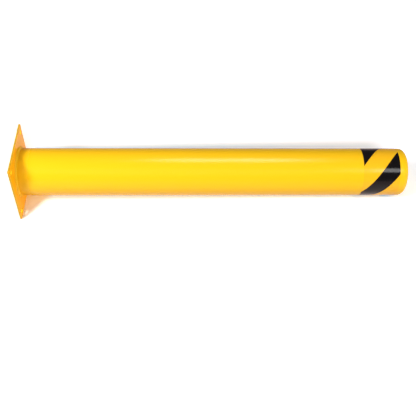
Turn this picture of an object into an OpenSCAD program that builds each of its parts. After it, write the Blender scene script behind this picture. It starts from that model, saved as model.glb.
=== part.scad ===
// Safety bollard: a steel pipe with a pressed cap, welded on a square base plate,
// powder coated, with a band of slanted hazard tape under the cap.
// It stands on z = 0, and the origin is the centre of the plate's underside.

/* [Overall] */
// Height from the floor to the highest point of the cap
height = 1150; // [700:10:1500]

/* [Base plate] */
// Side of the square base plate
plate_side = 200; // [170:1:300]
// Thickness of the base plate
plate_t = 5; // [4:0.5:16]
// Radius of the base plate's four corners
plate_corner_r = 3; // [1.5:0.5:12]
// Rounding of the base plate's edges under the coat
plate_edge_r = 0.8; // [0.3:0.1:1.2]

/* [Anchor holes] */
// Distance from the plate's edges to the centre of each anchor hole
bolt_edge = 18; // [13:0.5:26]
// Bore of each anchor hole
bolt_hole_d = 16; // [10:0.5:20]
// Chamfer at both mouths of each anchor hole
bolt_chamfer = 0.5; // [0.2:0.1:1.2]

/* [Pipe] */
// Outside diameter of the pipe
pipe_od = 140; // [100:1:160]
// Wall thickness of the pipe
pipe_wall = 4; // [2.5:0.5:8]

/* [Cap] */
// Outside radius of the shoulder pressed round the cap
shoulder_r = 18; // [10:0.5:30]
// Rise of the cap's crown above its shoulder
crown_rise = 2; // [0.5:0.5:8]
// Straight skirt of the cap, from the seam up to the shoulder
cap_skirt = 30; // [12:1:60]
// Thickness of the sheet that the cap is pressed from
cap_wall = 4; // [2.5:0.5:8]

/* [Welds] */
// Leg of the fillet weld round the foot of the pipe
foot_leg = 6; // [3:0.5:10]
// Rise of the fillet weld's face above a flat bevel
foot_bulge = 0.8; // [0.3:0.1:1.4]
// Width of the cap's butt weld at the outside, ground flush
seam_face = 5; // [4:0.5:10]
// Root gap of the cap's butt weld at the inside
seam_root = 1.5; // [0.5:0.5:3]

/* [Hazard tape] */
// Width of the tape, measured up the pipe
tape_w = 107; // [50:1:160]
// Bare pipe between the tape's upper edge and the shoulder
tape_gap = 10; // [2:1:60]
// Thickness of the tape
tape_t = 0.3; // [0.1:0.05:0.6]
// Length of the tape's end that laps over its start
tape_lap = 24; // [8:1:40]
// Angle of the tape's end round the pipe, from +X towards +Y
tape_end_at = 166; // [120:2:210]

/* [Stripes] */
// Black stripe's length round the pipe
stripe_run = 76; // [30:1:100]
// Distance round the pipe from one black stripe to the next
stripe_pitch = 164; // [120:1:220]
// Slant of the stripes above the horizontal
stripe_slant = 37.5; // [28:0.5:60]
// Angle of the first stripe's centre at the middle of the tape
stripe_at = -14; // [-40:0.5:20]
// Thickness of the black print on the tape
print_t = 0.12; // [0.06:0.02:0.3]

/* [Hidden] */
$fn = 96;

coat_yellow = [1.0, 0.85, 0.08];
film_yellow = [1.0, 0.79, 0.12];
print_black = [0.07, 0.07, 0.08];

// Extra reach of a cutting shape past the face that it cuts
cut = 1;

pipe_r = pipe_od / 2;
bolt_pitch = plate_side - 2 * bolt_edge;

// The cap: centres and radii of its two outer arcs
shoulder_x = pipe_r - shoulder_r;
shoulder_z = height - crown_rise - shoulder_r;
crown_reach = (pow(shoulder_x, 2) + pow(crown_rise, 2)) / (2 * crown_rise);
crown_r = crown_reach + shoulder_r;
crown_z = height - crown_r;
crown_edge_x = shoulder_x * crown_r / crown_reach;
seam_z = shoulder_z - cap_skirt;

// The foot weld: the arc through both toes of the bead
foot_arc_r = (pow(foot_leg, 2) / 2 + pow(foot_bulge, 2)) / (2 * foot_bulge);
foot_arc_at = foot_leg / 2 - (foot_arc_r - foot_bulge) / sqrt(2);

// The tape: its lower edge, and lengths round the pipe turned into angles
tape_z = shoulder_z - tape_gap - tape_w;
tape_r = pipe_r + tape_t;
deg_per_mm = 360 / (2 * PI * tape_r);
lap_angle = tape_lap * deg_per_mm;
lap_at = tape_end_at - lap_angle;

// The stripes: how far each one turns over the tape's width, and how far it reaches
stripe_angle = stripe_run * deg_per_mm;
pitch_angle = stripe_pitch * deg_per_mm;
stripe_turn = tape_w / tan(stripe_slant) * deg_per_mm;
stripe_reach = (stripe_turn + stripe_angle) / 2;
stripe_corner = abs(stripe_turn - stripe_angle) / 2;
stripes_each_way = ceil((360 + stripe_reach) / pitch_angle);

// Widest step between a stripe's upright columns, and the blunt end of its points
column_step = 4;
tip_angle = 0.5;

// Section of a flat bar that lies on y = 0, with its four edges rounded
module bar_section(width, thick, edge) {
    translate([-width / 2, edge])
        square([width, thick - 2 * edge]);
    translate([edge - width / 2, 0])
        square([width - 2 * edge, thick]);
    for (x = [-1, 1], y = [edge, thick - edge])
        translate([x * (width / 2 - edge), y])
            circle(r = edge);
}

// Square slab with rounded corners and rounded edges: two crossed bars and four posts
module rounded_slab(side, thick, corner, edge) {
    straight = side - 2 * corner;
    for (turn = [0, 90])
        rotate([0, 0, turn])
            translate([0, straight / 2, 0])
                rotate([90, 0, 0])
                    linear_extrude(height = straight)
                        bar_section(side, thick, edge);
    for (x = [-1, 1], y = [-1, 1])
        translate([x * straight / 2, y * straight / 2, 0])
            rotate_extrude()
                intersection() {
                    bar_section(2 * corner, thick, edge);
                    square([corner, thick]);
                }
}

// Anchor hole through the plate, opened by a chamfer at both mouths
module anchor_bore() {
    translate([0, 0, -cut])
        cylinder(h = plate_t + 2 * cut, d = bolt_hole_d);
    mouth_r = bolt_hole_d / 2 + bolt_chamfer + cut;
    for (end = [0, 1])
        translate([0, 0, end * plate_t])
            mirror([0, 0, end])
                translate([0, 0, -cut])
                    cylinder(h = bolt_chamfer + cut, r1 = mouth_r, r2 = bolt_hole_d / 2);
}

module base_plate() {
    color(coat_yellow)
        difference() {
            rounded_slab(plate_side, plate_t, plate_corner_r, plate_edge_r);
            for (x = [-1, 1], y = [-1, 1])
                translate([x * bolt_pitch / 2, y * bolt_pitch / 2, 0])
                    anchor_bore();
        }
}

// Fillet bead between the plate's top face and the pipe, with a raised face
module foot_weld() {
    color(coat_yellow)
        rotate_extrude()
            translate([pipe_r, plate_t])
                intersection() {
                    square(foot_leg);
                    translate([foot_arc_at, foot_arc_at])
                        circle(r = foot_arc_r);
                }
}

// Half of the seam's groove: the wedge that a bevelled edge leaves open
module edge_bevel(wall, side) {
    polygon([
        [pipe_r - wall - cut, 0],
        [pipe_r - wall - cut, side * seam_root / 2],
        [pipe_r - wall, side * seam_root / 2],
        [pipe_r, side * seam_face / 2],
        [pipe_r + cut, side * seam_face / 2],
        [pipe_r + cut, 0]
    ]);
}

module post_pipe() {
    color(coat_yellow)
        rotate_extrude()
            difference() {
                translate([pipe_r - pipe_wall, plate_t])
                    square([pipe_wall, seam_z - plate_t]);
                translate([0, seam_z])
                    edge_bevel(pipe_wall, -1);
            }
}

// Butt weld between pipe and cap, ground flush with both
module seam_weld() {
    color(coat_yellow)
        rotate_extrude()
            translate([0, seam_z])
                polygon([
                    [pipe_r - pipe_wall, -seam_root / 2],
                    [pipe_r, -seam_face / 2],
                    [pipe_r, seam_face / 2],
                    [pipe_r - cap_wall, seam_root / 2]
                ]);
}

// Half section of a solid dome whose whole outline lies inset inside the cap's
module dome_section(inset) {
    translate([0, seam_z])
        square([pipe_r - inset, cap_skirt]);
    translate([shoulder_x, shoulder_z])
        intersection() {
            circle(r = shoulder_r - inset);
            square(shoulder_r);
        }
    intersection() {
        translate([0, crown_z])
            circle(r = crown_r - inset, $fn = 720);
        translate([0, shoulder_z - cut])
            square([crown_edge_x, crown_rise + shoulder_r + cut]);
    }
}

// Pressed cap: skirt, rolled shoulder and shallow crown, one thickness all over
module top_cap() {
    color(coat_yellow)
        rotate_extrude()
            difference() {
                dome_section(0);
                dome_section(cap_wall);
                translate([0, seam_z])
                    edge_bevel(cap_wall, 1);
            }
}

// Pie slice from one angle to another, wide enough to reach past the tape
module slice(from, to) {
    reach = 2 * pipe_r;
    steps = ceil((to - from) / 30);
    arc = [
        for (i = [0:steps])
            let (a = from + (to - from) * i / steps)
            reach * [cos(a), sin(a)]
    ];
    polygon(concat([[0, 0]], arc));
}

// Thin ring seen from above
module annulus(inner, thick) {
    difference() {
        circle(r = inner + thick);
        circle(r = inner);
    }
}

// Tape wrapped once round the pipe, with its end lapped over its start
module tape_film() {
    color(film_yellow)
        translate([0, 0, tape_z])
            linear_extrude(height = tape_w) {
                annulus(pipe_r, tape_t);
                intersection() {
                    annulus(tape_r, tape_t);
                    slice(lap_at, tape_end_at);
                }
            }
}

// Lower and upper end of a stripe's column at an angle, kept within the tape
function stripe_low(centre, angle) =
    max(0, tape_w * (0.5 + (centre - stripe_angle / 2 - angle) / stripe_turn));
function stripe_high(centre, angle) =
    min(tape_w, tape_w * (0.5 + (centre + stripe_angle / 2 - angle) / stripe_turn));

// Even steps from one angle towards another, without the last one
function stretch(from, to) =
    let (n = ceil((to - from) / column_step))
    [for (i = [0:1:n - 1]) from + (to - from) * i / n];

// Angles of a stripe's columns between two limits, with one at each of its corners
function columns(centre, from, to) =
    let (
        corner_a = min(max(centre - stripe_corner, from), to),
        corner_b = min(max(centre + stripe_corner, from), to)
    )
    concat(stretch(from, corner_a), stretch(corner_a, corner_b), stretch(corner_b, to), [to]);

// One stripe's print between two angles, laid on a face of the given radius.
// Each column has four points, and the middle of each facet touches the face.
module stripe_piece(centre, from, to, radius) {
    first = max(from, centre - stripe_reach + tip_angle);
    last = min(to, centre + stripe_reach - tip_angle);
    if (last > first + tip_angle) {
        angles = columns(centre, first, last);
        inner = radius / cos(column_step / 2);
        points = [
            for (a = angles)
                for (r = [inner, inner + print_t], z = [stripe_low(centre, a), stripe_high(centre, a)])
                    [r * cos(a), r * sin(a), z]
        ];
        round = [0, 1, 3, 2];
        end = 4 * (len(angles) - 1);
        walls = [
            for (i = [0:4:end - 4], k = [0:3])
                let (p = i + round[k], q = i + round[(k + 1) % 4])
                [p, q, q + 4, p + 4]
        ];
        polyhedron(points, concat([[2, 3, 1, 0]], walls, [[end, end + 1, end + 3, end + 2]]));
    }
}

// The black print: each stripe on the tape's one turn, then up on its lapped end
module tape_stripes() {
    color(print_black)
        translate([0, 0, tape_z])
            for (i = [-stripes_each_way:stripes_each_way]) {
                centre = stripe_at + i * pitch_angle;
                stripe_piece(centre, tape_end_at - 360, lap_at, tape_r);
                stripe_piece(centre, lap_at, tape_end_at, tape_r + tape_t);
            }
}

base_plate();
foot_weld();
post_pipe();
seam_weld();
top_cap();
tape_film();
tape_stripes();
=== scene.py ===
import sys
import logging
import math
from dataclasses import dataclass
from enum import Enum
from typing import Any

import bpy
from mathutils import Matrix, Vector


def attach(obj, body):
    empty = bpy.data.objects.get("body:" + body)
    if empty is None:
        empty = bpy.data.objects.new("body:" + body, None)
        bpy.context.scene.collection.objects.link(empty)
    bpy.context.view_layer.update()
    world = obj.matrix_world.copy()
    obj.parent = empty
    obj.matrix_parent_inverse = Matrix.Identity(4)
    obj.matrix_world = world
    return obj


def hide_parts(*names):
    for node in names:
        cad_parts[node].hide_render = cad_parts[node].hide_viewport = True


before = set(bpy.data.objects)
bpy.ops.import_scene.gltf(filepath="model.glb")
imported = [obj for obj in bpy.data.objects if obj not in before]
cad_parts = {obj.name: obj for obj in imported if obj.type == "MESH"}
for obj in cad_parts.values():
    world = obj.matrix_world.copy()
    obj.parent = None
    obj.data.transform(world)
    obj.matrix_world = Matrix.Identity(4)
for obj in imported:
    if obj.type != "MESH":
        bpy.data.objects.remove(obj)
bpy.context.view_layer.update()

MM = 0.001
TURN = 2 * math.pi
log = logging.getLogger("bollard")

Colour = tuple[float, float, float]
Triple = tuple[float, float, float]
Band = tuple[float, float]


class Slot(Enum):
    """The record's material slots."""

    POWDER_COAT = "powder_coat"
    TAPE_YELLOW = "tape_yellow"
    TAPE_BLACK = "tape_black"


class LampKind(Enum):
    """The shapes of the lamps."""

    DISK = "DISK"
    STRIP = "RECTANGLE"
    SKY = "SUN"


class LampUse(Enum):
    """What a lamp does: light the colours, or show as a streak in the gloss."""

    LIGHT = "light"
    GLOSS = "gloss"


# Node trees


class Sock:
    """An output socket whose arithmetic adds Math nodes to its tree."""

    def __init__(self, tree: "NodeTree", socket: bpy.types.NodeSocket) -> None:
        """Wraps one socket.

        Args:
            tree: the tree that gets the Math nodes.
            socket: the output socket that is wrapped.
        """
        self.tree = tree
        self.socket = socket

    def math(self, operation: str, *values: "Sock | float") -> "Sock":
        """Adds a Math node.

        Args:
            operation: the node's operation.
            values: its inputs in order.

        Returns:
            The node's output.
        """
        return self.tree.add("ShaderNodeMath", {"operation": operation}, dict(enumerate(values)))

    def __add__(self, other: "Sock | float") -> "Sock":
        """Sum."""
        return self.math("ADD", self, other)

    def __radd__(self, other: float) -> "Sock":
        """Sum with a number on the left."""
        return self.math("ADD", other, self)

    def __sub__(self, other: "Sock | float") -> "Sock":
        """Difference."""
        return self.math("SUBTRACT", self, other)

    def __rsub__(self, other: float) -> "Sock":
        """Difference with a number on the left."""
        return self.math("SUBTRACT", other, self)

    def __mul__(self, other: "Sock | float") -> "Sock":
        """Product."""
        return self.math("MULTIPLY", self, other)

    def __rmul__(self, other: float) -> "Sock":
        """Product with a number on the left."""
        return self.math("MULTIPLY", other, self)

    def __truediv__(self, other: "Sock | float") -> "Sock":
        """Quotient."""
        return self.math("DIVIDE", self, other)

    def __pow__(self, other: "Sock | float") -> "Sock":
        """Power."""
        return self.math("POWER", self, other)

    def __abs__(self) -> "Sock":
        """Size without its sign."""
        return self.math("ABSOLUTE", self)

    def cos(self) -> "Sock":
        """Cosine of an angle in radians."""
        return self.math("COSINE", self)

    def sin(self) -> "Sock":
        """Sine of an angle in radians."""
        return self.math("SINE", self)

    def arcsine(self) -> "Sock":
        """Angle in radians of a sine."""
        return self.math("ARCSINE", self)

    def floor(self) -> "Sock":
        """Whole part."""
        return self.math("FLOOR", self)

    def least(self, other: "Sock | float") -> "Sock":
        """The smaller of two values."""
        return self.math("MINIMUM", self, other)

    def most(self, other: "Sock | float") -> "Sock":
        """The larger of two values."""
        return self.math("MAXIMUM", self, other)

    def clamped(self) -> "Sock":
        """The value, kept from 0 to 1."""
        return self.most(0.0).least(1.0)

    def below(self, limit: "Sock | float") -> "Sock":
        """1 where the value is under the limit, and otherwise 0."""
        return self.math("LESS_THAN", self, limit)

    def pick(self, yes: "Sock | float", no: "Sock | float") -> "Sock":
        """The first value where this one is 1, and the second where it is 0."""
        return self * yes + (1.0 - self) * no

    def ramp(self, low: "Sock | float", high: "Sock | float") -> "Sock":
        """Rises smoothly from 0 at low to 1 at high.

        Args:
            low: the value that gives 0.
            high: the value that gives 1.

        Returns:
            The smooth step.
        """
        settings = {"interpolation_type": "SMOOTHSTEP"}
        inputs = {0: self, 1: low, 2: high, 3: 0.0, 4: 1.0}
        return self.tree.add("ShaderNodeMapRange", settings, inputs)


class NodeTree:
    """A node tree that is filled from Python."""

    def __init__(self, tree: bpy.types.NodeTree) -> None:
        """Empties a tree.

        Args:
            tree: the tree that is filled.
        """
        self.tree = tree
        self.tree.nodes.clear()

    @staticmethod
    def find(sockets: Any, key: "int | str") -> bpy.types.NodeSocket:
        """Finds a socket of a node.

        Args:
            sockets: the node's inputs or outputs.
            key: the socket's number, identifier or name.

        Returns:
            The socket.
        """
        if isinstance(key, int):
            return sockets[key]
        exact = [s for s in sockets if s.identifier == key]
        named = [s for s in sockets if s.name == key and s.enabled]
        return (exact + named)[0]

    def node(self, kind: str, settings: dict[str, Any] | None = None,
             inputs: dict["int | str", Any] | None = None) -> bpy.types.Node:
        """Adds a node, sets it up and then fills its sockets.

        Args:
            kind: the node's type.
            settings: the node's own settings, which are made first.
            inputs: values or links of its input sockets.

        Returns:
            The node.
        """
        node = self.tree.nodes.new(kind)
        for name, value in (settings or {}).items():
            setattr(node, name, value)
        for key, value in (inputs or {}).items():
            socket = self.find(node.inputs, key)
            if isinstance(value, Sock):
                self.tree.links.new(value.socket, socket)
            else:
                socket.default_value = value
        return node

    def out(self, node: bpy.types.Node, key: "int | str" = 0) -> Sock:
        """Wraps one output of a node."""
        return Sock(self, self.find(node.outputs, key))

    def add(self, kind: str, settings: dict[str, Any] | None = None,
            inputs: dict["int | str", Any] | None = None, output: "int | str" = 0) -> Sock:
        """Adds a node and wraps one of its outputs.

        Args:
            kind: the node's type.
            settings: the node's own settings.
            inputs: values or links of its input sockets.
            output: the output that is wanted.

        Returns:
            That output.
        """
        return self.out(self.node(kind, settings, inputs), output)

    def vector(self, x: "Sock | float", y: "Sock | float", z: "Sock | float") -> Sock:
        """Joins three values to a vector."""
        return self.add("ShaderNodeCombineXYZ", inputs={0: x, 1: y, 2: z})

    def parts(self, vector: Sock) -> tuple[Sock, Sock, Sock]:
        """Splits a vector into its three values."""
        node = self.node("ShaderNodeSeparateXYZ", inputs={0: vector})
        return self.out(node, 0), self.out(node, 1), self.out(node, 2)

    def scaled(self, vector: Sock, scale: Triple) -> Sock:
        """Multiplies a vector part by part."""
        return self.add("ShaderNodeVectorMath", {"operation": "MULTIPLY"}, {0: vector, 1: scale})

    def noise(self, vector: Sock, scale: float, detail: float = 2.0,
              roughness: float = 0.5) -> Sock:
        """Adds a noise texture.

        Args:
            vector: where the texture is read.
            scale: waves to the unit of the vector.
            detail: finer layers.
            roughness: strength of the finer layers.

        Returns:
            The noise, from 0 to 1 about 0.5.
        """
        inputs = {"Vector": vector, "Scale": scale, "Detail": detail, "Roughness": roughness}
        return self.add("ShaderNodeTexNoise", inputs=inputs, output="Fac")


class ShaderTree(NodeTree):
    """The shader of a material or of the world."""

    @classmethod
    def of_material(cls, name: str) -> tuple["ShaderTree", bpy.types.Material]:
        """Makes a material with an empty shader.

        Args:
            name: the material's name.

        Returns:
            The shader and the material.
        """
        material = bpy.data.materials.new(name)
        material.use_nodes = True
        return cls(material.node_tree), material

    def place(self) -> Sock:
        """Object coordinates in metres."""
        return self.add("ShaderNodeTexCoord", output="Object")

    def mix(self, factor: "Sock | float", low: "Sock | Colour", high: "Sock | Colour") -> Sock:
        """Mixes two colours.

        Args:
            factor: 0 for the first colour and 1 for the second.
            low: the first colour.
            high: the second colour.

        Returns:
            The mixed colour.
        """
        inputs = {"Factor_Float": factor}
        for key, colour in (("A_Color", low), ("B_Color", high)):
            inputs[key] = colour if isinstance(colour, Sock) else (*colour, 1.0)
        return self.add("ShaderNodeMix", {"data_type": "RGBA"}, inputs, "Result_Color")

    def bump(self, height: Sock, depth: float, normal: Sock | None = None) -> Sock:
        """Turns a height into a normal.

        Args:
            height: the height, from 0 to 1.
            depth: metres from the lowest point to the highest.
            normal: the normal that is bumped, or none for the surface's own.

        Returns:
            The bumped normal.
        """
        inputs = {"Height": height, "Distance": depth, "Strength": 1.0}
        if normal is not None:
            inputs["Normal"] = normal
        return self.add("ShaderNodeBump", inputs=inputs)

    def seen(self, in_gloss: Sock) -> Sock:
        """Tells how far a ray sees a surface as the camera does.

        Args:
            in_gloss: the share of it that shows in gloss.

        Returns:
            1 for camera and transmission rays, the share for glossy rays, and otherwise 0.
        """
        rays = self.node("ShaderNodeLightPath")
        seen = self.out(rays, "Is Camera Ray").most(self.out(rays, "Is Transmission Ray"))
        return seen.most(self.out(rays, "Is Glossy Ray") * in_gloss)

    def end(self, shader: Sock, world: bool = False) -> None:
        """Links the finished shader to the tree's output.

        Args:
            shader: the finished shader.
            world: True for the world's tree.
        """
        kind = "ShaderNodeOutputWorld" if world else "ShaderNodeOutputMaterial"
        self.node(kind, inputs={"Surface": shader})


class GeometryTree(NodeTree):
    """A Geometry Nodes tree with named inputs for the sizes of one kind of piece."""

    WELD = 0.002 * MM
    SHARP = math.radians(40)

    def __init__(self, name: str, sizes: dict[str, "float | int"]) -> None:
        """Makes a tree with one named input for each size.

        Args:
            name: the tree's name.
            sizes: the inputs' names and values.
        """
        group = bpy.data.node_groups.new(name, "GeometryNodeTree")
        super().__init__(group)
        sockets = group.interface
        sockets.new_socket(name="Geometry", in_out="OUTPUT", socket_type="NodeSocketGeometry")
        self.sizes = dict(sizes)
        for label, value in sizes.items():
            kind = "NodeSocketInt" if isinstance(value, int) else "NodeSocketFloat"
            sockets.new_socket(name=label, in_out="INPUT", socket_type=kind)
        self.given = self.node("NodeGroupInput")

    def size(self, label: str) -> Sock:
        """One of the named inputs."""
        return self.out(self.given, label)

    def index(self) -> Sock:
        """Number of each point."""
        return self.add("GeometryNodeInputIndex")

    def turned_grid(self, rings: "Sock | int", steps: Sock) -> tuple[Sock, Sock, Sock]:
        """Makes the grid that a turned piece is bent from.

        Args:
            rings: points along the section.
            steps: steps round the axis.

        Returns:
            The grid, each point's number along the section and its angle round the axis.
        """
        across = steps + 1
        grid = self.add("GeometryNodeMeshGrid", inputs={"Vertices X": rings, "Vertices Y": across})
        ring = ((self.index() + 0.5) / across).floor()
        angle = (self.index() - ring * across) / steps * TURN
        return grid, ring, angle

    @staticmethod
    def two_faces(ring: Sock, count: int) -> tuple[Sock, Sock]:
        """Takes a section down its outer face and back up its inner one.

        Args:
            ring: each point's number along the section.
            count: points on each face.

        Returns:
            1 on the outer face and 0 on the inner, and the place from the face's foot, 0 to 1.
        """
        outside = ring.below(count - 0.5)
        last = count - 1
        return outside, outside.pick(1.0 - ring / last, (ring - count) / last)

    def box(self, columns: Sock, rows: int) -> Sock:
        """Makes the closed box that a strip is bent from, two points thick."""
        inputs = {"Vertices X": columns, "Vertices Y": rows, "Vertices Z": 2}
        return self.add("GeometryNodeMeshCube", inputs=inputs)

    def place_in_box(self) -> tuple[Sock, Sock, Sock]:
        """Each point's place along, across and through its box, from 0 to 1."""
        along, across, through = self.parts(self.add("GeometryNodeInputPosition"))
        return along + 0.5, across + 0.5, through + 0.5

    def bend(self, mesh: Sock, angle: Sock, radius: Sock, height: Sock) -> Sock:
        """Sets every point by its angle, radius and height about the pipe's axis."""
        place = self.vector(radius * angle.cos(), radius * angle.sin(), height)
        return self.add("GeometryNodeSetPosition", inputs={"Geometry": mesh, "Position": place})

    def end(self, mesh: Sock, material: bpy.types.Material) -> None:
        """Welds the seams, smooths the round faces and gives the mesh its material.

        Args:
            mesh: the finished geometry.
            material: its material.
        """
        mesh = self.add("GeometryNodeRealizeInstances", inputs={"Geometry": mesh})
        inputs = {"Geometry": mesh, "Distance": self.WELD}
        mesh = self.add("GeometryNodeMergeByDistance", inputs=inputs)
        round_face = self.add("GeometryNodeInputMeshEdgeAngle").below(self.SHARP)
        for domain, smooth in (("FACE", True), ("EDGE", round_face)):
            inputs = {"Geometry": mesh, "Shade Smooth": smooth}
            mesh = self.add("GeometryNodeSetShadeSmooth", {"domain": domain}, inputs)
        mesh = self.add("GeometryNodeSetMaterial", inputs={"Geometry": mesh, "Material": material})
        self.node("NodeGroupOutput", inputs={"Geometry": mesh})

    def piece(self, name: str) -> bpy.types.Object:
        """Runs the tree on a new object and keeps the result as a plain mesh.

        Args:
            name: the piece's name.

        Returns:
            The piece, with no modifier left.
        """
        shell = bpy.data.objects.new(name, bpy.data.meshes.new(name))
        bpy.context.scene.collection.objects.link(shell)
        modifier = shell.modifiers.new("sizes", "NODES")
        modifier.node_group = self.tree
        for item in self.tree.interface.items_tree:
            if item.in_out == "INPUT":
                modifier[item.identifier] = self.sizes[item.name]
        depsgraph = bpy.context.evaluated_depsgraph_get()
        plain = bpy.data.meshes.new_from_object(shell.evaluated_get(depsgraph), depsgraph=depsgraph)
        shell.modifiers.clear()
        shell.data = plain
        plain.name = name
        return shell


# Finishes


@dataclass(frozen=True)
class PowderCoat:
    """Semi-gloss yellow powder coat, with its orange peel and slow changes of thickness. Its second
    colour also paints shade at the pipe's foot and bounce light on the plate.
    """

    name: str = "yellow_powder_coat"
    colour: Colour = (1.0, 0.68, 0.011)
    thin_and_shade_colour: Colour = (0.88, 0.57, 0.006)
    # The coat's own yellow, used where a painted bounce colour is left out.
    own_yellow_colour: Colour = (1.0, 0.7, 0.02)
    steel: Colour = (0.36, 0.26, 0.04)
    ior: float = 1.42
    roughness: float = 0.24
    runs_roughness: float = 0.06
    thin_roughness: float = 0.14
    # Painted shade: the colour darkens in the corner above the plate, most at the foot and not at
    # all above this band.
    painted_foot_shade_band: Band = (14 * MM, 56 * MM)
    painted_foot_shade: float = 0.7
    cloud_waves: float = 9.0
    cloud_change: float = 0.3
    runs_waves: float = 60.0
    runs_stretch: float = 0.12
    peel_waves: float = 420.0
    peel_share: float = 0.7
    swell_waves: float = 70.0
    swell_share: float = 0.3
    peel_depth: float = 0.012 * MM

    def shader(self, tree: ShaderTree, thin_coat_and_shade: Sock, normal: Sock | None = None,
               edge_darkening: "Sock | float" = 0.0, own_yellow: "Sock | float" = 0.0) -> None:
        """Fills a shader with the coat.

        Args:
            tree: the shader.
            thin_coat_and_shade: 1 where the coat is thinner, such as near an edge, and also where
                painted shade and painted bounce light use the second colour.
            normal: the normal under the coat, or none for the surface's own.
            edge_darkening: how far the colour is mixed toward dark steel, as on the plate's cut
                faces.
            own_yellow: 1 where the coat keeps its own yellow, free of the painted bounce orange, as
                on the plate's hole walls and cut faces.
        """
        place = tree.place()
        cloud = tree.noise(place, self.cloud_waves, detail=3.0)
        runs = tree.noise(tree.scaled(place, (1.0, 1.0, self.runs_stretch)), self.runs_waves)
        peel = tree.noise(place, self.peel_waves, detail=1.5, roughness=0.4)
        swell = tree.noise(place, self.swell_waves, detail=1.0)
        amount = ((cloud - 0.5) * self.cloud_change + thin_coat_and_shade).clamped()
        coat = tree.mix(own_yellow, tree.mix(amount, self.colour, self.thin_and_shade_colour), self.own_yellow_colour)
        roughness = self.roughness + (runs - 0.5) * self.runs_roughness
        skin = peel * self.peel_share + swell * self.swell_share
        inputs = {
            "Base Color": tree.mix(edge_darkening, coat, self.steel),
            "Roughness": roughness + thin_coat_and_shade * self.thin_roughness,
            "Normal": tree.bump(skin, self.peel_depth, normal),
            "IOR": self.ior,
        }
        tree.end(tree.add("ShaderNodeBsdfPrincipled", inputs=inputs))

    def material(self) -> bpy.types.Material:
        """Makes the round pieces' material, with painted shade in the foot's corner, where the
        colour darkens toward its second colour.

        Returns:
            The material.
        """
        tree, material = ShaderTree.of_material(self.name)
        height = tree.parts(tree.place())[2]
        # Painted shade in the corner above the plate, where the plate's shadow falls.
        self.shader(tree, (1.0 - height.ramp(*self.painted_foot_shade_band)) * self.painted_foot_shade)
        return material


@dataclass(frozen=True)
class PlateCoat:
    """The powder coat on the cut plate: thinner along its edges and round its holes, with painted
    bounce light that turns its faces orange, while its hole walls and cut faces keep the coat's own
    yellow.
    """

    coat: PowderCoat
    side: float
    pitch: float
    bore: float
    edge_width: float = 1.6 * MM
    painted_bounce_all_over: float = 0.2
    thin_at_edges: float = 0.6
    cut_reach: float = 0.2 * MM
    hole_reach: float = 0.1 * MM
    grain_waves: float = 900.0
    grain_stretch: float = 0.06
    grain_depth: float = 0.05 * MM
    edge_darkening_waves: float = 220.0
    edge_darkening_band: Band = (0.3, 0.7)
    least_edge_darkening: float = 0.42
    edge_darkening_change: float = 0.16

    def material(self) -> bpy.types.Material:
        """Makes the plate's material.

        Returns:
            The material.
        """
        tree, material = ShaderTree.of_material(self.coat.name)
        edge, rim = self.side / 2, self.bore / 2
        place = tree.place()
        x, y, _ = tree.parts(place)
        x, y = abs(x), abs(y)
        reach = x.most(y)
        outline = reach.ramp(edge - self.edge_width, edge)
        off_x, off_y = x - self.pitch / 2, y - self.pitch / 2
        from_hole = (off_x * off_x + off_y * off_y) ** 0.5
        mouth = 1.0 - from_hole.ramp(rim, rim + self.edge_width)
        in_hole = from_hole.below(rim + self.hole_reach)
        grain = tree.noise(tree.scaled(place, (1.0, 1.0, self.grain_stretch)), self.grain_waves)
        on_cut_face = 1.0 - reach.below(edge - self.cut_reach)
        normal = tree.bump(grain * on_cut_face, self.grain_depth)
        # The cut faces are mixed 42 to 58 percent toward the dark steel colour, unevenly.
        edge_darkening_mottle = tree.noise(place, self.edge_darkening_waves, detail=3.0).ramp(*self.edge_darkening_band)
        edge_darkening = on_cut_face * (self.least_edge_darkening + edge_darkening_mottle * self.edge_darkening_change)
        # Painted bounce light: the whole plate leans toward the second colour; only the edges and
        # hole mouths are really thinner.
        thin_coat_and_shade = self.painted_bounce_all_over + outline.most(mouth) * self.thin_at_edges
        # Hole walls and cut faces keep the coat's own yellow, without the painted bounce orange.
        self.coat.shader(tree, thin_coat_and_shade, normal, edge_darkening, in_hole.most(on_cut_face))
        return material


@dataclass(frozen=True)
class TapeVinyl:
    """Glossy vinyl of the hazard tape, with a fine skin and the slow waves of its winding."""

    name: str
    colour: Colour
    worn_colour: Colour
    ior: float = 1.42
    roughness: float = 0.155
    smear_waves: float = 55.0
    smear_roughness: float = 0.06
    worn_waves: float = 30.0
    worn_start: float = 0.3
    skin_waves: float = 1500.0
    skin_depth: float = 0.004 * MM
    winding_waves: float = 70.0
    winding_stretch: float = 0.5
    winding_depth: float = 0.02 * MM

    def material(self) -> bpy.types.Material:
        """Makes the vinyl's material.

        Returns:
            The material.
        """
        tree, material = ShaderTree.of_material(self.name)
        place = tree.place()
        worn = (tree.noise(place, self.worn_waves, detail=3.0) - self.worn_start).most(0.0)
        wound = tree.scaled(place, (1.0, 1.0, self.winding_stretch))
        winding = tree.noise(wound, self.winding_waves, detail=1.0)
        skin = tree.noise(place, self.skin_waves, detail=1.0)
        smear = tree.noise(place, self.smear_waves, detail=4.0, roughness=0.6)
        inputs = {
            "Base Color": tree.mix(worn, self.colour, self.worn_colour),
            "Roughness": self.roughness + (smear - 0.5) * self.smear_roughness,
            "Normal": tree.bump(skin, self.skin_depth, tree.bump(winding, self.winding_depth)),
            "IOR": self.ior,
        }
        tree.end(tree.add("ShaderNodeBsdfPrincipled", inputs=inputs))
        return material


PIPE_COAT = PowderCoat()
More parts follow.
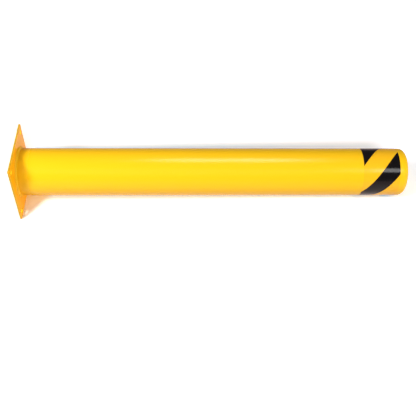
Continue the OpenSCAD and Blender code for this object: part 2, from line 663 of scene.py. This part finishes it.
# The plate's deeper orange is painted bounce light from the yellow pipe, not a different paint; the
# same coat covers the whole bollard.
PLATE_COAT_PAINTED_BOUNCE = PowderCoat("yellow_powder_coat_on_plate", colour=(1.0, 0.56, 0.008),
                        thin_and_shade_colour=(0.97, 0.44, 0.006), roughness=0.3)
YELLOW_VINYL = TapeVinyl("yellow_tape_vinyl", colour=(1.0, 0.625, 0.015),
                         worn_colour=(0.97, 0.595, 0.02))
BLACK_PRINT = TapeVinyl("black_tape_print", colour=(0.005, 0.005, 0.006),
                        worn_colour=(0.008, 0.008, 0.009))


# The bollard


def hand_over(piece: bpy.types.Object, slot: Slot, *nodes: str) -> None:
    """Lets a finished piece stand for its solids.

    Args:
        piece: the finished piece.
        slot: the record's slot that its finish is; not used.
        nodes: the solids that it stands for.
    """
    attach(piece, "root")
    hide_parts(*nodes)
    log.info("%s: %d faces, stands for %s", piece.name, len(piece.data.polygons), ", ".join(nodes))


def dress(node: str, material: bpy.types.Material) -> None:
    """Gives a solid that stays its finish.

    Args:
        node: the solid's name.
        material: its finish.
    """
    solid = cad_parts[node]
    for slot in solid.material_slots:
        slot.material = material
    log.info("%s: dressed in %s", node, material.name)


@dataclass
class BasePlate:
    """Square steel plate with four anchor holes. Its solid stays and is dressed."""

    side: float = 200 * MM
    pitch: float = 164 * MM
    bore: float = 16 * MM

    def build(self, coat: PowderCoat) -> None:
        """Dresses the plate.

        Args:
            coat: the powder coat.
        """
        dress("base_plate", PlateCoat(coat, self.side, self.pitch, self.bore).material())


@dataclass
class FootWeld:
    """Fillet weld round the foot of the pipe, laid in overlapping ripples."""

    pipe_radius: float = 70 * MM
    plate_top: float = 5 * MM
    leg: float = 6 * MM
    bulge: float = 0.8 * MM
    ripple: float = 2.4 * MM
    ripple_depth: float = 0.35 * MM
    ripple_bow: float = 1.6
    ripple_drift: float = 4.0
    drift_waves: float = 14.0
    crest_power: float = 0.7
    crest_middle: float = 0.7
    leg_share: float = 0.93
    leg_change: float = 0.12
    leg_waves: float = 5.0
    bite: float = 0.05 * MM
    face_points: int = 13
    points_a_ripple: int = 9
    seed: float = 7.3

    def tree(self, material: bpy.types.Material) -> GeometryTree:
        """Makes the weld's tree.

        Args:
            material: the finish.

        Returns:
            The tree.
        """
        ripples = round(TURN * (self.pipe_radius + self.leg / 2) / self.ripple)
        tree = GeometryTree("fillet_weld", {
            "Pipe radius": self.pipe_radius,
            "Plate top": self.plate_top,
            "Leg": self.leg,
            "Bulge": self.bulge,
            "Ripples": ripples,
            "Ripple depth": self.ripple_depth,
            "Steps": ripples * self.points_a_ripple,
            "Seed": self.seed,
        })
        count = self.face_points
        diagonal = math.sqrt(0.5)
        grid, ring, angle = tree.turned_grid(count + 2, tree.size("Steps"))
        ring = ring * ring.below(count + 0.5)
        on_face = ring.below(count - 0.5)
        across = (ring / (count - 1)).least(1.0)
        about = tree.vector(angle.cos(), angle.sin(), tree.size("Seed"))
        uneven = tree.noise(about, self.leg_waves) - 0.5
        drift = tree.noise(about, self.drift_waves, detail=1.0) - 0.5
        leg = tree.size("Leg") * (self.leg_share + self.leg_change * uneven)
        bulge = tree.size("Bulge")
        arc = (leg * leg * 0.5 + bulge * bulge) / (bulge * 2.0)
        half = (leg * diagonal / arc).arcsine()
        lean = math.pi / 4 + half * (1.0 - 2.0 * across)
        centre = leg * 0.5 - (arc - bulge) * diagonal
        middle = (across * math.pi).sin()
        wave = angle * tree.size("Ripples") + drift * self.ripple_drift + middle * self.ripple_bow
        crest = abs((wave * 0.5).sin()) ** self.crest_power
        face = arc + (crest - self.crest_middle) * tree.size("Ripple depth") * middle
        radius = tree.size("Pipe radius") + ((centre + face * lean.cos()) * on_face - self.bite)
        height = tree.size("Plate top") + ((centre + face * lean.sin()) * on_face - self.bite)
        tree.end(tree.bend(grid, angle, radius, height), material)
        return tree

    def build(self, material: bpy.types.Material) -> None:
        """Builds the weld and puts it in its solid's place.

        Args:
            material: the finish.
        """
        hand_over(self.tree(material).piece("rippled_foot_weld"), Slot.POWDER_COAT, "foot_weld")


@dataclass
class PostPipe:
    """Round steel pipe, seated on the plate, its top edge bevelled for the cap's weld."""

    radius: float = 70 * MM
    wall: float = 4 * MM
    foot: float = 5 * MM
    seam: float = 1100 * MM
    seam_face: float = 5 * MM
    seam_root: float = 1.5 * MM
    rings: int = 24
    steps: int = 240

    def tree(self, material: bpy.types.Material) -> GeometryTree:
        """Makes the pipe's tree.

        Args:
            material: the finish.

        Returns:
            The tree.
        """
        tree = GeometryTree("bevelled_pipe", {
            "Radius": self.radius,
            "Wall": self.wall,
            "Foot": self.foot,
            "Outer top": self.seam - self.seam_face / 2,
            "Inner top": self.seam - self.seam_root / 2,
            "Steps": self.steps,
        })
        count = self.rings
        grid, ring, angle = tree.turned_grid(2 * count + 1, tree.size("Steps"))
        outside, share = tree.two_faces(ring * ring.below(2 * count - 0.5), count)
        top = outside.pick(tree.size("Outer top"), tree.size("Inner top"))
        height = tree.size("Foot") + (top - tree.size("Foot")) * share
        radius = tree.size("Radius") - tree.size("Wall") * (1.0 - outside)
        tree.end(tree.bend(grid, angle, radius, height), material)
        return tree

    def build(self, material: bpy.types.Material) -> None:
        """Builds the pipe, and dresses the flush seam weld above it.

        Args:
            material: the finish.
        """
        hand_over(self.tree(material).piece("coated_pipe"), Slot.POWDER_COAT, "post_pipe")
        dress("seam_weld", material)


@dataclass
class TopCap:
    """Pressed cap: a straight skirt, a rolled shoulder and a shallow crown."""

    radius: float = 70 * MM
    seam: float = 1100 * MM
    skirt: float = 30 * MM
    shoulder: float = 18 * MM
    crown_rise: float = 2 * MM
    wall: float = 4 * MM
    seam_face: float = 5 * MM
    seam_root: float = 1.5 * MM
    rings: int = 90
    steps: int = 240

    def tree(self, material: bpy.types.Material) -> GeometryTree:
        """Makes the cap's tree: one walk up the skirt, round the shoulder and over the crown.

        Args:
            material: the finish.

        Returns:
            The tree.
        """
        flat = self.radius - self.shoulder
        reach = (flat ** 2 + self.crown_rise ** 2) / (2 * self.crown_rise)
        turn = math.acos(flat / reach)
        tree = GeometryTree("pressed_cap", {
            "Radius": self.radius,
            "Seam": self.seam,
            "Skirt": self.skirt,
            "Shoulder": self.shoulder,
            "Shoulder turn": turn,
            "Crown radius": reach + self.shoulder,
            "Wall": self.wall,
            "Steps": self.steps,
        })
        grid, ring, angle = tree.turned_grid(2 * self.rings, tree.size("Steps"))
        outside, share = tree.two_faces(ring, self.rings)
        skirt, shoulder = tree.size("Skirt"), tree.size("Shoulder")
        corner, crown = tree.size("Shoulder turn"), tree.size("Crown radius")
        walk = (skirt + shoulder * corner + crown * (math.pi / 2 - corner)) * share
        rolled = ((walk - skirt) / shoulder).most(0.0).least(corner)
        crowned = ((walk - skirt - shoulder * corner) / crown).most(0.0)
        lean, over = rolled + crowned, corner + crowned
        radius = tree.size("Radius") - shoulder + shoulder * rolled.cos()
        radius = radius + crown * (over.cos() - corner.cos())
        height = tree.size("Seam") + walk.least(skirt) + shoulder * rolled.sin()
        height = height + crown * (over.sin() - corner.sin())
        inset = tree.size("Wall") * (1.0 - outside)
        lip = outside.pick(self.seam_face / 2, self.seam_root / 2)
        radius = (radius - inset * lean.cos()).most(0.0)
        height = height - inset * lean.sin() + lip * (1.0 - walk.ramp(0.0, skirt))
        tree.end(tree.bend(grid, angle, radius, height), material)
        return tree

    def build(self, material: bpy.types.Material) -> None:
        """Builds the cap and puts it in its solid's place.

        Args:
            material: the finish.
        """
        hand_over(self.tree(material).piece("coated_cap"), Slot.POWDER_COAT, "top_cap")


@dataclass
class HazardTape:
    """Yellow film wrapped once round the pipe, with slanted black stripes printed on it."""

    radius: float = 70 * MM
    bottom: float = 1013 * MM
    width: float = 107 * MM
    film: float = 0.3 * MM
    ink: float = 0.12 * MM
    lap: float = 24 * MM
    end_at: float = math.radians(166)
    climb: float = math.radians(2.5)
    run: float = 76 * MM
    pitch: float = 164 * MM
    slant: float = math.radians(37.5)
    first_at: float = math.radians(-14)
    stripes: int = 6
    sink: float = 0.05 * MM
    tip: float = math.radians(0.5)
    film_columns: int = 540
    film_rows: int = 6
    stripe_columns: int = 280
    stripe_rows: int = 4

    def sizes(self) -> dict[str, "float | int"]:
        """Lists the inputs that the film's tree and the stripes' tree share.

        Returns:
            Their names and values.
        """
        return {
            "Radius": self.radius,
            "Bottom": self.bottom,
            "Width": self.width,
            "Film": self.film,
            "Lap starts": self.end_at - self.lap / (self.radius + self.film),
            "Film ends": self.end_at,
            "Climb": self.climb,
        }

    def rise(self, tree: GeometryTree, angle: Sock) -> Sock:
        """How far the film is lifted where its end climbs over its start.

        Args:
            tree: the tree.
            angle: the angle round the pipe, counted on through the whole winding.

        Returns:
            The lift.
        """
        lap = tree.size("Lap starts")
        return tree.size("Film") * angle.ramp(lap - tree.size("Climb"), lap)

    def film_tree(self, material: bpy.types.Material) -> GeometryTree:
        """Makes the film's tree: one strip bent round the pipe, its end lapped over its start.

        Args:
            material: the finish.

        Returns:
            The tree.
        """
        tree = GeometryTree("wound_film", self.sizes() | {"Columns": self.film_columns})
        mesh = tree.box(tree.size("Columns"), self.film_rows)
        along, across, through = tree.place_in_box()
        start = tree.size("Lap starts") - TURN
        angle = start + (tree.size("Film ends") - start) * along
        radius = tree.size("Radius") + self.rise(tree, angle) + tree.size("Film") * through
        height = tree.size("Bottom") + tree.size("Width") * across
        tree.end(tree.bend(mesh, angle, radius, height), material)
        return tree

    def stripe_tree(self, material: bpy.types.Material) -> GeometryTree:
        """Makes the stripes' tree: equal helical bands, cut at the film's edges and at its end.

        Args:
            material: the finish.

        Returns:
            The tree.
        """
        outside = self.radius + self.film
        tree = GeometryTree("printed_stripes", self.sizes() | {
            "Ink": self.ink,
            "Stripe turn": self.width / math.tan(self.slant) / outside,
            "Stripe run": self.run / outside,
            "Stripe pitch": self.pitch / outside,
            "First stripe": self.first_at,
            "Stripes": self.stripes,
            "Columns": self.stripe_columns,
        })
        mesh = tree.box(tree.size("Columns"), self.stripe_rows)
        inputs = {"Count": tree.size("Stripes"), "Offset": (0.0,) * 3}
        spots = tree.add("GeometryNodeMeshLine", inputs=inputs)
        inputs = {"Points": spots, "Instance": mesh}
        copies = tree.add("GeometryNodeInstanceOnPoints", inputs=inputs)
        settings = {"data_type": "FLOAT", "domain": "INSTANCE"}
        inputs = {"Geometry": copies, "Name": "stripe", "Value": tree.index()}
        copies = tree.add("GeometryNodeStoreNamedAttribute", settings, inputs)
        mesh = tree.add("GeometryNodeRealizeInstances", inputs={"Geometry": copies})
        number = tree.add("GeometryNodeInputNamedAttribute", {"data_type": "FLOAT"},
                          {"Name": "stripe"})
        along, across, through = tree.place_in_box()

        turn, run = tree.size("Stripe turn"), tree.size("Stripe run")
        from_first = (number - self.stripes // 2) * tree.size("Stripe pitch")
        centre = tree.size("First stripe") + from_first
        reach = (turn + run) * 0.5 - self.tip
        end = tree.size("Film ends")
        first = (centre - reach).most(end - TURN)
        last = (centre + reach).least(end)
        angle = first + (last - first).most(0.0) * along
        low = (0.5 + (centre - run * 0.5 - angle) / turn).clamped()
        high = (0.5 + (centre + run * 0.5 - angle) / turn).clamped()
        height = tree.size("Bottom") + tree.size("Width") * (low + (high - low) * across)
        face = tree.size("Radius") + tree.size("Film") + self.rise(tree, angle)
        radius = face - self.sink + (tree.size("Ink") + self.sink) * through
        mesh = tree.bend(mesh, angle, radius, height)
        empty = (last - first).below(0.0)
        mesh = tree.add("GeometryNodeDeleteGeometry", {"domain": "POINT"},
                        {"Geometry": mesh, "Selection": empty})
        tree.end(mesh, material)
        return tree

    def build(self, yellow: bpy.types.Material, black: bpy.types.Material) -> None:
        """Builds the film and its stripes.

        Args:
            yellow: the film's finish.
            black: the stripes' finish.
        """
        film = self.film_tree(yellow).piece("wound_tape_film")
        hand_over(film, Slot.TAPE_YELLOW, "tape_film")
        stripes = self.stripe_tree(black).piece("printed_tape_stripes")
        hand_over(stripes, Slot.TAPE_BLACK, "tape_stripes")


# The studio


@dataclass(frozen=True)
class Lamp:
    """One lamp, aimed from its place at a point on the bollard."""

    name: str
    kind: LampKind
    place: Triple
    aim: Triple
    level: float
    colour: Colour = (1.0, 1.0, 1.0)
    width: float = 0.5
    length: float = 0.5
    spread: float = 0.0
    use: LampUse = LampUse.LIGHT

    def build(self) -> None:
        """Makes the lamp. Its level is the light on a surface at its aim that faces it."""
        sky = self.kind is LampKind.SKY
        data = bpy.data.lights.new(self.name, "SUN" if sky else "AREA")
        data.color = self.colour
        way = Vector(self.aim) - Vector(self.place)
        if sky:
            data.energy = self.level * math.pi
            data.angle = self.spread
        else:
            data.shape = self.kind.value
            data.size = self.width
            data.size_y = self.length
            data.energy = self.level * math.pi ** 2 * way.length_squared
        lamp = bpy.data.objects.new(self.name, data)
        lamp.location = self.place
        lamp.rotation_mode = "QUATERNION"
        lamp.rotation_quaternion = way.to_track_quat("-Z", "Y")
        lamp.visible_diffuse = self.use is LampUse.LIGHT
        lamp.visible_glossy = self.use is LampUse.GLOSS
        bpy.context.scene.collection.objects.link(lamp)
        log.info("lamp %s: level %.2f", self.name, self.level)


@dataclass(frozen=True)
class StudioPaper:
    """Plain white paper that keeps shadows and glows a little, seen from its front only."""

    name: str
    open_glow: float
    colour: Colour = (0.85, 1.0, 1.0)
    bounce: Colour = (0.52, 0.42, 0.4)
    in_gloss: float = 0.42
    gloss_band: Band = (100 * MM, 500 * MM)
    gloss_loss: float = 0.8

    def tone(self, tree: ShaderTree) -> "Sock | Colour":
        """Colour of the paper under the lamps."""
        return self.colour

    def glow(self, tree: ShaderTree) -> "Sock | Colour":
        """Colour of the paper's glow."""
        return (self.open_glow,) * 3

    def material(self) -> bpy.types.Material:
        """Makes the paper's material.

        Returns:
            The material.
        """
        tree, material = ShaderTree.of_material(self.name)
        away = abs(tree.parts(tree.place())[0]).ramp(*self.gloss_band)
        seen = tree.seen(self.in_gloss * (1.0 - away * self.gloss_loss))
        white = tree.mix(seen, self.bounce, self.tone(tree))
        glow = tree.mix(seen, (0.0,) * 3, self.glow(tree))
        matt = tree.add("ShaderNodeBsdfDiffuse", inputs={"Color": white})
        lit = tree.add("ShaderNodeEmission", inputs={"Color": glow})
        front = tree.add("ShaderNodeAddShader", inputs={0: matt, 1: lit})
        behind = tree.add("ShaderNodeNewGeometry", output="Backfacing")
        clear = tree.add("ShaderNodeBsdfTransparent")
        tree.end(tree.add("ShaderNodeMixShader", inputs={0: behind, 1: front, 2: clear}))
        return material


@dataclass(frozen=True)
class TablePaper(StudioPaper):
    """The table's paper, whose colour and glow change by zones to show the pipe's shade on it."""

    # Painted light and shade on the paper: shade_glow and shade_colour paint the pipe's shadow
    # behind it, close_glow paints shade just under it, foot_glow paints warm bounce light from the
    # paint in the plate's shadow, and cap_glow paints light over the cap's shadow.
    shade_glow: Colour = (0.0, 0.0, 0.0)
    shade_colour: Colour = (0.54, 0.74, 0.82)
    cap_glow: Colour = (0.48, 0.5, 0.53)
    foot_glow: Colour = (0.05, 0.0, 0.0)
    close_glow: Colour = (0.05, 0.19, 0.28)
    front_glow: Colour = (0.66, 0.62, 0.6)
    shade_band: Band = (-235 * MM, -182 * MM)
    shade_fade: Band = (0.4, 1.2)
    under_pipe: Band = (-40 * MM, 0.0)
    close_band: Band = (8 * MM, 32 * MM)
    outline_drift: float = 0.0225
    front_end: Band = (60 * MM, 120 * MM)
    foot_end: Band = (67 * MM, 94 * MM)
    foot_slope: float = 0.7
    cap_end: Band = (1085 * MM, 1195 * MM)

    def tone(self, tree: ShaderTree) -> Sock:
        """Gives the paper's colour under the lamps, a little darker on the pipe's shaded side.

        Args:
            tree: the paper's shader.

        Returns:
            The colour.
        """
        x, _, z = tree.parts(tree.place())
        shade = x.ramp(*self.shade_band) * (1.0 - x.ramp(*self.under_pipe))
        shade = shade * (1.0 - z.ramp(*self.shade_fade))
        return tree.mix(shade, self.colour, self.shade_colour)

    def glow(self, tree: ShaderTree) -> Sock:
        """Gives the colour of the paper's glow, by the side of the pipe and the place along it.

        Args:
            tree: the paper's shader.

        Returns:
            The glow.
        """
        x, _, z = tree.parts(tree.place())
        white = (self.open_glow,) * 3
        # The near zone follows the pipe's outline, which drifts over the table in perspective.
        from_outline = x - z * self.outline_drift
        front = tree.mix(from_outline.ramp(*self.close_band), self.close_glow, self.front_glow)
        front = tree.mix(x.ramp(*self.front_end), front, white)
        # The plate's shade ends on a slanted line.
        from_foot = z + x * self.foot_slope
        front = tree.mix(from_foot.ramp(*self.foot_end), self.foot_glow, front)
        near = tree.mix(x.ramp(*self.under_pipe), self.shade_glow, front)
        near = tree.mix(z.ramp(*self.cap_end), near, self.cap_glow)
        return tree.mix(1.0 - x.ramp(*self.shade_band), near, white)


@dataclass(frozen=True)
class Studio:
    """The white table that the bollard lies on, a floor for it to stand on, and the lamps."""

    reach: float = 8.0
    table_foot: float = 100 * MM
    table_rise: float = 30 / 1130
    table_glow: float = 0.42
    floor_glow: float = 0.36
    ambient: float = 0.07
    in_gloss: float = 0.12
    room_band: Band = (-0.3, 0.0)
    key_from: Triple = (0.475, -0.801, -0.55)
    key_far: float = 3.7
    key_aim: Triple = (0.0, 0.0, 0.3)
    middle: Triple = (0.0, 0.0, 0.5)
    warm: Colour = (1.0, 0.83, 0.83)

    def sheet(self, name: str, corners: list[Triple], paper: StudioPaper) -> bpy.types.Object:
        """Makes one sheet of paper.

        Args:
            name: the sheet's name.
            corners: its corners, counter-clockwise when seen from its front.
            paper: its finish.

        Returns:
            The sheet, which throws no shadow itself.
        """
        mesh = bpy.data.meshes.new(name)
        mesh.from_pydata(corners, [], [tuple(range(len(corners)))])
        mesh.materials.append(paper.material())
        sheet = bpy.data.objects.new(name, mesh)
        sheet.visible_shadow = False
        bpy.context.scene.collection.objects.link(sheet)
        return sheet

    def build_sheets(self) -> None:
        """Makes the table, which touches the plate's edge and the cap, and the floor."""
        r = self.reach
        low, high = (self.table_foot - self.table_rise * z for z in (-r, r))
        corners = [(-r, low, -r), (r, low, -r), (r, high, r), (-r, high, r)]
        self.sheet("white_table", corners, TablePaper("white_table_paper", self.table_glow))
        corners = [(-r, -r, 0.0), (r, -r, 0.0), (r, r, 0.0), (-r, r, 0.0)]
        floor = self.sheet("pale_floor", corners, StudioPaper("pale_floor_paper", self.floor_glow))
        floor.visible_diffuse = False
        floor.visible_glossy = False

    def build_world(self) -> None:
        """Makes the world: white behind everything, and a low even light in the room."""
        world = bpy.data.worlds.new("studio_room")
        world.use_nodes = True
        tree = ShaderTree(world.node_tree)
        way = tree.parts(tree.add("ShaderNodeTexCoord", output="Generated"))
        toward_table = way[1].ramp(*self.room_band)
        room = tuple(self.ambient * part for part in self.warm)
        colour = tree.mix(tree.seen(toward_table * self.in_gloss), room, (1.0,) * 3)
        tree.end(tree.add("ShaderNodeBackground", inputs={"Color": colour}), world=True)
        bpy.context.scene.world = world

    def build_lamps(self) -> None:
        """Makes the lamps."""
        key_place = tuple(Vector(self.key_from).normalized() * self.key_far)
        lamps = (
            Lamp("key_lamp", LampKind.DISK, key_place, self.key_aim,
                 level=0.56, colour=self.warm, width=0.85),
            Lamp("key_glow", LampKind.DISK, key_place, self.key_aim,
                 level=0.5, colour=self.warm, width=2.0),
            Lamp("soft_high", LampKind.DISK, (1.2, -0.7, 2.3), (0.0, 0.0, 1.0),
                 level=0.19, colour=self.warm, width=0.8),
            Lamp("soft_front", LampKind.SKY, (1.39, -1.45, 0.48), self.middle,
                 level=0.33, colour=self.warm, spread=math.radians(30)),
            Lamp("soft_back", LampKind.SKY, (-1.0, 1.03, 0.6), self.middle,
                 level=1.04, colour=(1.0, 0.68, 0.67), spread=math.radians(40)),
            Lamp("soft_sky", LampKind.SKY, (0.1, -0.15, 2.0), self.middle,
                 level=0.62, colour=(1.0, 0.81, 0.8), spread=math.radians(40)),
            Lamp("overhead_strip", LampKind.STRIP, (-0.332, -1.462, 0.735), (0.0, 0.0, 0.735),
                 level=0.26, width=0.4, length=0.736, use=LampUse.GLOSS),
            Lamp("tape_strip", LampKind.STRIP, (1.215, -1.589, 1.72), (0.0, 0.0, 1.0665),
                 level=0.062, width=0.6, length=0.18, use=LampUse.GLOSS),
        )
        for lamp in lamps:
            lamp.build()

    def build(self) -> None:
        """Makes the whole studio and sets how its light is shown."""
        self.build_sheets()
        self.build_world()
        self.build_lamps()
        bpy.context.scene.view_settings.view_transform = "Standard"


@dataclass(frozen=True)
class PhotoCamera:
    """The camera at the photo's viewing angle, found from the outlines of pipe, plate and tape."""

    focal_px: float = 669.6
    image_px: float = 416.0
    sensor: float = 36.0
    place: Triple = (1391.6 * MM, -1446.1 * MM, 481.2 * MM)
    right: Triple = (0.0268, -0.0281, 0.9992)
    up: Triple = (-0.757, -0.6535, 0.0019)
    clip: Band = (0.05, 60.0)

    def build(self) -> None:
        """Makes the camera and makes it the scene's."""
        data = bpy.data.cameras.new("photo_camera")
        data.sensor_width = self.sensor
        data.lens = self.focal_px / self.image_px * self.sensor
        data.clip_start, data.clip_end = self.clip
        right = Vector(self.right).normalized()
        back = right.cross(Vector(self.up)).normalized()
        axes = Matrix((right, back.cross(right), back)).transposed()
        camera = bpy.data.objects.new("photo_camera", data)
        camera.rotation_mode = "QUATERNION"
        camera.rotation_quaternion = axes.to_quaternion()
        camera.location = self.place
        bpy.context.scene.collection.objects.link(camera)
        bpy.context.scene.camera = camera


def main() -> None:
    """Builds the camera, the bollard and the studio."""
    logging.basicConfig(level=logging.INFO, format="%(message)s", stream=sys.stdout)
    PhotoCamera().build()
    coat = PIPE_COAT.material()
    yellow, black = YELLOW_VINYL.material(), BLACK_PRINT.material()
    BasePlate().build(PLATE_COAT_PAINTED_BOUNCE)
    for piece in (FootWeld(), PostPipe(), TopCap()):
        piece.build(coat)
    HazardTape().build(yellow, black)
    Studio().build()


if __name__ == "__main__":
    main()
